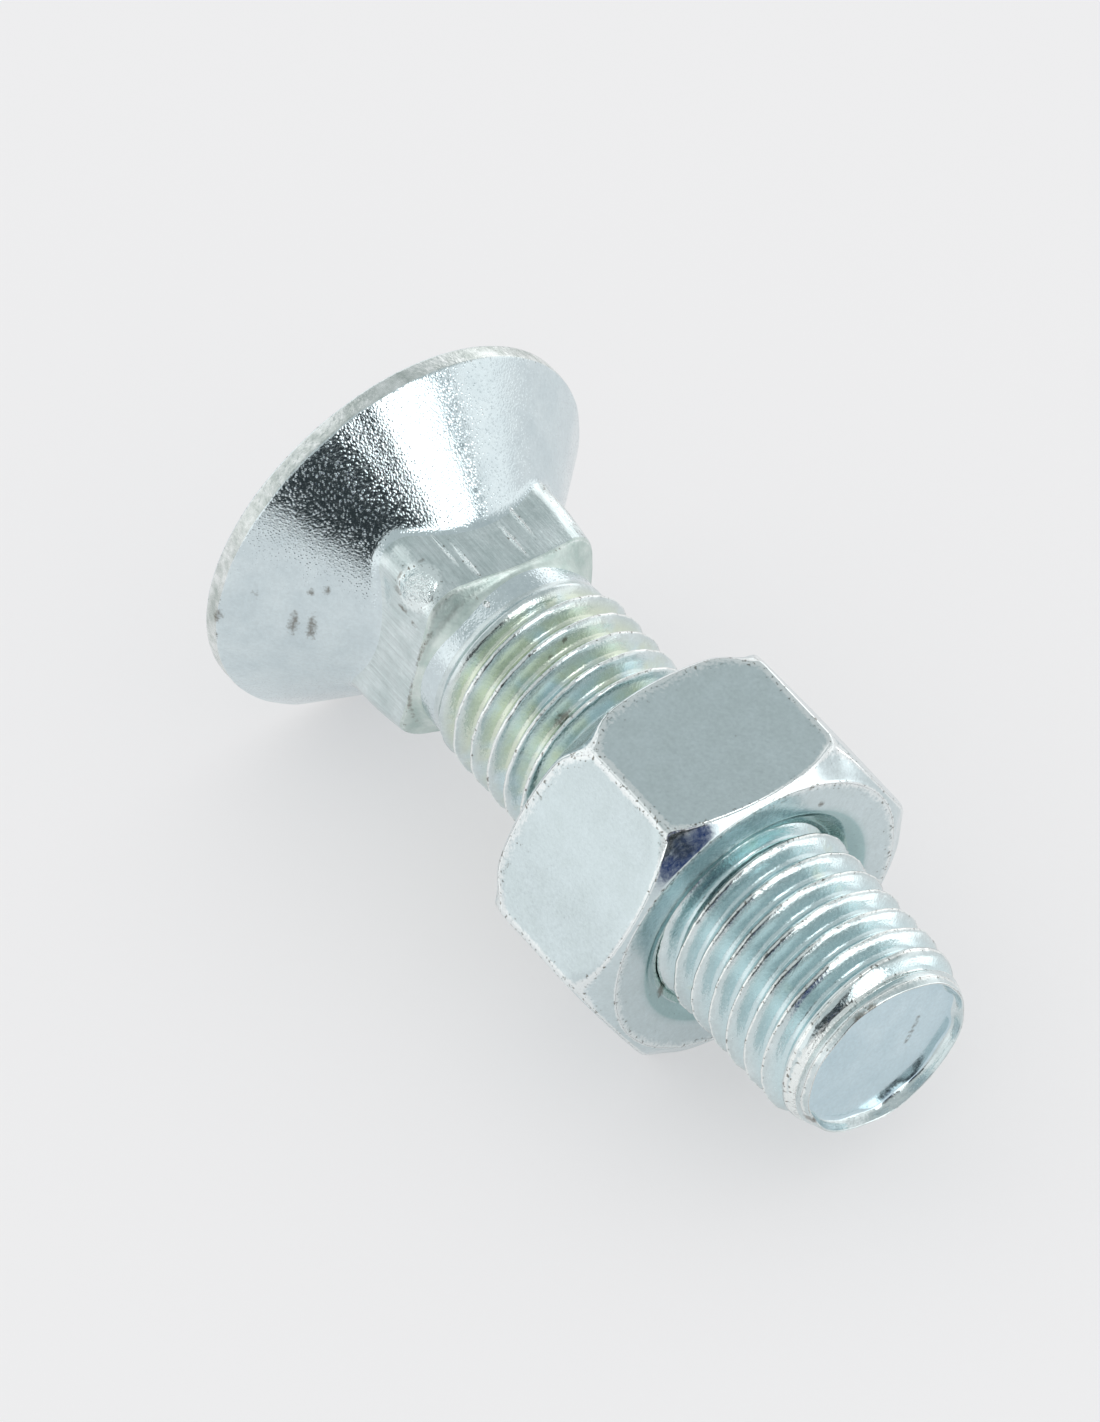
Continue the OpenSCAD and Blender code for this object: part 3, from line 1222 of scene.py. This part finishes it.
        # the bead is a little less rubbed than the lip's top
        wear = edge_wear(split, [(middles[0], 3.9, 1.3), (middles[1], 4.5, 1.5)])
        wear = np.minimum(wear, self.lip_wear)
        rows.add(s[:split], r[:split], Finish.ROLLED.value, wear, relief=0.9)
        rows.add(s[split:], r[split:], Finish.SHEARED.value)

    def build(self, lay: Lay) -> bpy.types.Object:
        """Makes the whole bolt one closed mesh, with its finishes.

        Args:
            lay: Where the axis lies.

        Returns:
            The bolt.
        """
        plates = {Finish.FORGED: FORGED, Finish.TRIMMED: TRIMMED,
                  Finish.DIE_DRAWN: DRAWN, Finish.ROLLED: ROLLED,
                  Finish.SHEARED: SHEARED, Finish.CLAMPED: CLAMPED}
        finishes = [plates[kind].build(lay) for kind in Finish]
        rows = Rows()
        self.head_and_neck(rows)
        self.threaded(rows)
        self.end(rows)
        return rows.mesh("forged_bolt", self.theta, lay, False, finishes, self.stains,
                         self.rubs)


# ---------------------------------------------------------------- the nut

# a dark spot low in the mouth, and three small spots on the outer ring
NUT_STAINS = (
    Mark(32.3, 6.2, 205.0, 0.4, 0.6, 0.8), Mark(32.7, 8.9, 70.0, 0.3, 0.3, 0.7),
    Mark(32.7, 8.6, 82.0, 0.3, 0.3, 0.7), Mark(32.7, 7.6, 60.0, 0.3, 0.4, 0.6),
)
# two bright nicks on the outer ring
NUT_RUBS = (
    Mark(32.7, 7.5, 227.0, 0.3, 0.2, 0.9), Mark(32.7, 7.9, 72.0, 0.3, 0.5, 0.9),
)


# half the angle that one of the nut's flats takes up
HALF_FLAT = math.radians(30.0)


@dataclass
class HexNut:
    """The hexagon nut, as a ring whose path runs out, along and back inside."""

    thread: Thread

    # its place along the bolt, and the hexagon with its rounded corners
    at: float = 22.7
    height: float = 10.0
    half: float = 9.425
    corner_round: float = 0.25
    flat_turn: float = math.radians(90.0)
    flat_edge: float = 0.2
    side_ripple: Ripple = Ripple(0.008, 31, range(2, 10))

    # the ring of the outer face and of the bearing face, and the cone that cuts
    # the corners down to each
    face_r: float = 9.05
    face_edge: float = 0.14
    bearing_r: float = 8.8
    bearing_edge: float = 0.25
    chamfer: float = math.radians(30.0)

    # how deep the corners are knocked in at the outer and at the bearing face,
    # over what angle, and how much rounder that leaves them
    knock: float = 0.36
    knock_bearing: float = 0.65
    knock_spread: float = 0.1
    bearing_cut: float = 0.6
    face_cut: float = 0.42

    # the countersunk mouths and the threaded bore, which clears the bolt's
    # thread by the gap and is drilled to the bore's radius
    mouth_r: float = 6.9
    mouth_half: float = math.radians(60.0)
    mouth_edge: float = 0.5
    mouth_lead: float = 0.35
    mouth_blend: float = 0.06
    bore_r: float = 5.3
    thread_gap: float = 0.06

    # wear of the six edges, from mouth to mouth round the outside
    wear: tuple = (0.5, 1.25, 1.25, 1.25, 1.25, 0.5)
    # how far from the six upright edges theirs begins and is full, in radians
    corner_wear: tuple = (0.06, 0.02)

    # a share of each flat's columns crowds within a few roundings of its corners
    columns_a_flat: int = 36
    corner_share: float = 0.3
    corner_reach: float = 1.6
    rows_a_pitch: int = 12
    stains: tuple = NUT_STAINS
    rubs: tuple = NUT_RUBS

    def __post_init__(self) -> None:
        """Works out the angles of the columns, crowded at the six corners."""
        half = self.columns_a_flat // 2
        share = self.corner_share
        touch = HALF_FLAT - self.corner_reach * self.corner_round / self.half
        t = np.linspace(-1.0, 1.0, 2 * half + 1)[:-1]
        sector = np.interp(t, [-1.0, share - 1.0, 1.0 - share, 1.0],
                           [-HALF_FLAT, -touch, touch, HALF_FLAT])
        middles = HALF_FLAT + np.arange(6) * TURN / 6
        self.theta = np.append((middles[:, None] + sector[None, :]).ravel(), TURN)

    def outside(self, rows: Rows) -> None:
        """Adds the bearing face, chamfers, flats and outer face.

        A chamfer is a cone about the axis, so it drops from the ring of the
        face in step with the hexagon's radius.

        Args:
            rows: The grid to add to.
        """
        around = polygon_radius(self.theta, 6, self.half, self.corner_round,
                                self.flat_turn)
        around = around + self.side_ripple.at(self.theta)
        off_middle = off_flat(self.theta, 6, self.flat_turn)
        bell = np.exp(-((HALF_FLAT - off_middle) / self.knock_spread) ** 2)
        drop = (around - self.face_r) * math.tan(self.chamfer) + self.knock * bell
        back = (around - self.bearing_r) * math.tan(self.chamfer)
        back = back + self.knock_bearing * bell
        ring = np.full_like(around, self.face_r)
        seat = np.full_like(around, self.bearing_r)
        mouth = np.full_like(around, self.mouth_r)
        inner = mouth - self.mouth_lead * math.tan(self.mouth_half)
        low = np.full_like(around, self.at)
        high = low + self.height
        corners = [(low + self.mouth_lead, inner), (low, mouth), (low, seat),
                   (low + back, around), (high - drop, around), (high, ring),
                   (high, mouth), (high - self.mouth_lead, inner)]
        cuts = [self.mouth_edge, self.face_edge,
                self.bearing_edge + self.bearing_cut * bell,
                self.flat_edge + self.face_cut * bell,
                self.face_edge, self.mouth_edge]
        steps, arc_steps = [3, 5, 5, 16, 5, 5, 3], 4
        s, r, middles = even_path(corners, cuts, steps, arc_steps)
        row = np.arange(len(s))
        wear = edge_wear(len(s), [(middle, 4, full)
                                  for middle, full in zip(middles, self.wear)])
        # the six upright edges are rubbed between the chamfers
        flats = (row > middles[2]) & (row < middles[3])
        begins, full = self.corner_wear
        corner = ease(off_middle, HALF_FLAT - begins, HALF_FLAT - full)
        wear = np.maximum(wear, flats[:, None] * corner[None, :])
        # the relief is 0 in the mouths and 1 outside, so their film is a groove's
        from_end = np.minimum(row, len(s) - 1 - row)
        relief = ease(from_end, middles[0] - 1.0, middles[0] + 2.0)[:, None]
        rows.add(s, r, 0, wear, relief)

    def inside(self, rows: Rows) -> None:
        """Adds the threaded bore, from the outer face back to the bearing face.

        Its radius is the bolt's thread with a running gap, kept outside the
        drilled hole and opened by the countersink at each end.

        Args:
            rows: The grid to add to.
        """
        low = self.at + self.mouth_lead
        high = self.at + self.height - self.mouth_lead
        thread = self.thread
        phases = crowded_phases(self.rows_a_pitch, thread.shift(low))
        s = screw_rows(low, high, thread.pitch, self.theta, phases)[::-1]
        height = thread.height(s, self.theta)
        radius = thread.root_r + (thread.crest_r - thread.root_r) * height
        radius = np.maximum(radius + self.thread_gap, self.bore_r)
        near = np.minimum(s - self.at, self.at + self.height - s)
        mouth = self.mouth_r - near * math.tan(self.mouth_half)
        radius = smooth_max(radius, mouth, self.mouth_blend)
        rows.add(s[1:-1], radius[1:-1], 1, 0.0, height[1:-1])

    def build(self, lay: Lay) -> bpy.types.Object:
        """Makes the nut one closed ring, with the finish of its outside and bore.

        Args:
            lay: Where the axis lies.

        Returns:
            The nut.
        """
        finishes = [plate.build(lay) for plate in (COLD_FORMED, TAPPED)]
        rows = Rows()
        self.outside(rows)
        self.inside(rows)
        return rows.mesh("hexagon_nut", self.theta, lay, True, finishes, self.stains,
                         self.rubs)


# ---------------------------------------------------------------- studio

@dataclass(frozen=True)
class Panel:
    """A part of the room that the metal mirrors.

    It is full between the inner two of its four angles and gone beyond the
    outer two, in radians, round the room and up from the floor.
    """

    code: str
    strength: float
    sides: tuple
    heights: tuple

    @property
    def light(self) -> tuple:
        """The panel's linear colour times its strength."""
        return tuple(self.strength * part for part in linear(self.code)[:3]) + (1.0,)


def window(tree: bpy.types.NodeTree, value: bpy.types.NodeSocket,
           edges: tuple) -> bpy.types.NodeSocket:
    """Adds nodes that are 1 between two soft edges of a value and 0 outside.

    Args:
        tree: The node tree.
        value: The value that is tested.
        edges: Where it begins to rise, is full, begins to fall and is gone.

    Returns:
        The window's output.
    """
    sides = []
    for low, high in (edges[:2], (edges[3], edges[2])):
        side = add_node(tree, "ShaderNodeMapRange", {
            "interpolation_type": "SMOOTHSTEP", "From Min": low, "From Max": high},
            {"Value": value})
        sides.append(side.outputs[0])
    both = add_node(tree, "ShaderNodeMath", {"operation": "MULTIPLY"},
                    {0: sides[0], 1: sides[1]})
    return both.outputs[0]


@dataclass
class Studio:
    """Floor, painted room and camera, in metres and radians."""

    # the camera's place, the point it looks at, its roll and its lens
    position: tuple = (0.3453165, -0.2572045, 0.4667851)
    aim: tuple = (-0.0046977, -0.0017462, 0.0126383)
    roll: float = math.radians(-0.066)
    lens: float = 392.727
    sensor: float = 36.0
    floor_half: float = 2.0
    shadow_share: float = 0.5

    # what the metal sees on the floor, by its angle in radians and its distance
    # in metres: the dark corner, the curtain's blue and the big panel's white
    floor_dark: tuple = ((-0.85, -0.7, -0.3, -0.2), (0.2, 0.4, 5.0, 6.0))
    floor_blue: tuple = ((-0.26, -0.2, 0.06, 0.1), (0.06, 0.09, 5.0, 6.0))
    floor_white: tuple = ((0.08, 0.13, 0.75, 0.95), (0.036, 0.048, 5.0, 6.0))

    paper: str = "#eeeeef"
    backdrop: str = "#eeeeee"
    ceiling: str = "#c5cbcc"
    curtain: str = "#2c3f6e"
    corner: str = "#3a4144"
    panels: tuple = (
        # the bright walls all round, and one bright stretch behind the head
        Panel("#ffffff", 1.12, (-9.0, -8.0, 8.0, 9.0), (-2.0, -1.8, 0.2, 0.7)),
        Panel("#ffffff", 1.5, (1.6, 1.7, 2.1, 2.2), (-2.0, -1.8, 0.4, 0.6)),
        # higher up, a pale stretch beyond the head and a grey one in front
        Panel("#f4f6f6", 1.1, (-9.0, -8.0, -2.3, -2.1), (0.3, 0.4, 1.0, 1.15)),
        Panel("#b6bfc0", 1.0, (-2.1, -2.0, -1.35, -1.2), (0.6, 0.75, 1.05, 1.15)),
        # the dark card beyond the thread's end, taller next to the big panel
        Panel("#2c3336", 1.0, (-0.9, -0.7, 0.05, 0.1), (0.02, 0.08, 0.42, 0.52)),
        Panel("#2c3336", 1.0, (-0.26, -0.16, 0.05, 0.1), (0.3, 0.4, 0.58, 0.85)),
        # the blue curtain below it
        Panel("#2c3f6e", 1.0, (-0.26, -0.2, 0.06, 0.1), (-2.0, -1.8, 0.1, 0.14)),
        # the big panel, a little wider higher up, and a grey strip beyond it
        Panel("#ffffff", 2.3, (0.08, 0.12, 0.62, 0.66), (-2.0, -1.8, 0.9, 1.05)),
        Panel("#ffffff", 2.3, (0.07, 0.11, 0.2, 0.3), (0.2, 0.3, 0.9, 1.05)),
        Panel("#8b989d", 1.0, (0.62, 0.66, 0.72, 0.76), (0.0, 0.1, 0.6, 0.8)),
    )

    def camera(self) -> None:
        """Adds the camera and makes it the scene's."""
        data = bpy.data.cameras.new("camera")
        data.lens = self.lens
        data.sensor_width = self.sensor
        data.sensor_fit = "HORIZONTAL"
        data.clip_start = 0.01
        data.clip_end = 20.0
        eye = bpy.data.objects.new("camera", data)
        back = (Vector(self.position) - Vector(self.aim)).normalized()
        turn = back.to_track_quat("Z", "Y").to_matrix().to_4x4()
        eye.matrix_world = (Matrix.Translation(self.position) @ turn
                            @ Matrix.Rotation(self.roll, 4, "Z"))
        bpy.context.scene.collection.objects.link(eye)
        bpy.context.scene.camera = eye

    def floor(self) -> None:
        """Adds the pale paper that the bolt lies on."""
        half = self.floor_half
        mesh = bpy.data.meshes.new("floor")
        mesh.from_pydata([(-half, -half, 0), (half, -half, 0), (half, half, 0),
                          (-half, half, 0)], [], [(0, 1, 2, 3)])
        mesh.materials.append(self.sweep())
        floor = bpy.data.objects.new("floor", mesh)
        bpy.context.scene.collection.objects.link(floor)

    def sweep(self) -> bpy.types.Material:
        """Makes the paper's material.

        Part of it glows as if lit from all round, which keeps its shadows
        light. Seen in the metal, a few centimetres off it is bright towards the
        big panel and dark blue towards the curtain, and further off it is dark
        towards the corner.

        Returns:
            The material.
        """
        material = bpy.data.materials.new("matt_paper_sweep")
        material.use_nodes = True
        tree = material.node_tree
        tree.nodes.clear()
        place = add_node(tree, "ShaderNodeTexCoord").outputs["Object"]
        apart = add_node(tree, "ShaderNodeSeparateXYZ", {}, {0: place})
        azimuth = add_node(tree, "ShaderNodeMath", {"operation": "ARCTAN2"},
                           {0: apart.outputs[1], 1: apart.outputs[0]}).outputs[0]
        reach = add_node(tree, "ShaderNodeVectorMath", {"operation": "LENGTH"},
                         {0: place}).outputs["Value"]
        dark, blue, white = [
            add_node(tree, "ShaderNodeMath", {"operation": "MULTIPLY"},
                     {0: window(tree, azimuth, sides),
                      1: window(tree, reach, far)}).outputs[0]
            for sides, far in (self.floor_dark, self.floor_blue, self.floor_white)]
        colour = add_node(tree, "ShaderNodeMix", {
            "data_type": "RGBA", 6: linear(self.paper), 7: linear(self.curtain)},
            {0: blue}).outputs[2]
        colour = add_node(tree, "ShaderNodeMix", {
            "data_type": "RGBA", 7: linear(self.corner)}, {0: dark, 6: colour}).outputs[2]
        mirrored = add_node(tree, "ShaderNodeBsdfDiffuse", {}, {"Color": colour})
        glow = add_node(tree, "ShaderNodeEmission", {"Color": (1, 1, 1, 1)},
                        {"Strength": white})
        paper = add_node(tree, "ShaderNodeEmission", {"Color": linear(self.paper)})
        mirrored = add_node(tree, "ShaderNodeMixShader", {0: self.shadow_share}, {
            1: add_node(tree, "ShaderNodeEmission", {}, {"Color": colour}).outputs[0],
            2: mirrored.outputs[0]})
        mirrored = add_node(tree, "ShaderNodeAddShader", {},
                            {0: mirrored.outputs[0], 1: glow.outputs[0]})
        matt = add_node(tree, "ShaderNodeBsdfDiffuse", {"Color": linear(self.paper)})
        paper = add_node(tree, "ShaderNodeMixShader", {0: self.shadow_share},
                         {1: paper.outputs[0], 2: matt.outputs[0]})
        shiny = add_node(tree, "ShaderNodeLightPath").outputs["Is Glossy Ray"]
        both = add_node(tree, "ShaderNodeMixShader", {},
                        {0: shiny, 1: paper.outputs[0], 2: mirrored.outputs[0]})
        add_node(tree, "ShaderNodeOutputMaterial", {}, {"Surface": both.outputs[0]})
        material.cycles.emission_sampling = "NONE"
        return material

    def light(self) -> None:
        """Adds the room: bright walls, a greyer ceiling, panels, card and curtain.

        The room is a function of direction, which only the metal mirrors. The
        paper is lit evenly, and the camera sees a plain pale backdrop.
        """
        world = bpy.data.worlds.new("studio")
        bpy.context.scene.world = world
        world.use_nodes = True
        tree = world.node_tree
        tree.nodes.clear()
        way = add_node(tree, "ShaderNodeTexCoord").outputs["Generated"]
        apart = add_node(tree, "ShaderNodeSeparateXYZ", {}, {0: way})
        azimuth = add_node(tree, "ShaderNodeMath", {"operation": "ARCTAN2"},
                           {0: apart.outputs[1], 1: apart.outputs[0]}).outputs[0]
        height = add_node(tree, "ShaderNodeMath", {"operation": "ARCSINE"},
                          {0: apart.outputs[2]}).outputs[0]
        room = add_node(tree, "ShaderNodeRGB")
        room.outputs[0].default_value = linear(self.ceiling)
        room = room.outputs[0]
        for panel in self.panels:
            share = add_node(tree, "ShaderNodeMath", {"operation": "MULTIPLY"}, {
                0: window(tree, azimuth, panel.sides),
                1: window(tree, height, panel.heights)}).outputs[0]
            room = add_node(tree, "ShaderNodeMix", {"data_type": "RGBA", 7: panel.light},
                            {0: share, 6: room}).outputs[2]
        path = add_node(tree, "ShaderNodeLightPath")
        plain = add_node(tree, "ShaderNodeMix", {
            "data_type": "RGBA", 6: (1.0, 1.0, 1.0, 1.0), 7: linear(self.backdrop)},
            {0: path.outputs["Is Camera Ray"]}).outputs[2]
        even = add_node(tree, "ShaderNodeBackground", {}, {"Color": plain})
        mirrored = add_node(tree, "ShaderNodeBackground", {}, {"Color": room})
        both = add_node(tree, "ShaderNodeMixShader", {}, {
            0: path.outputs["Is Glossy Ray"], 1: even.outputs[0], 2: mirrored.outputs[0]})
        add_node(tree, "ShaderNodeOutputWorld", {}, {"Surface": both.outputs[0]})

    def build(self) -> None:
        """Sets the whole studio up."""
        self.camera()
        self.floor()
        self.light()
        bpy.context.scene.view_settings.view_transform = "Standard"


def report(piece: bpy.types.Object) -> None:
    """Logs a piece's name and how many faces and points it has."""
    log.info("%s: %d faces, %d points", piece.name, len(piece.data.polygons),
             len(piece.data.vertices))


def main() -> None:
    """Builds the bolt, the nut and the studio."""
    logging.basicConfig(level=logging.INFO, format="%(name)s %(message)s")
    joint = frame["joints"][0]
    mounts = {mount["name"]: mount for mount in frame["record"]["mounts"]}
    lay = Lay(np.array(mounts["head_flat"]["pos_m"]), np.array(joint["axis"]))
    thread = Thread()

    bolt = PlowBolt(thread).build(lay)
    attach(bolt, "bolt")
    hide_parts("bolt")
    report(bolt)

    nut = HexNut(thread).build(lay)
    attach(nut, "nut")
    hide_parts("nut")
    report(nut)

    Studio().build()


if __name__ == "__main__":
    main()
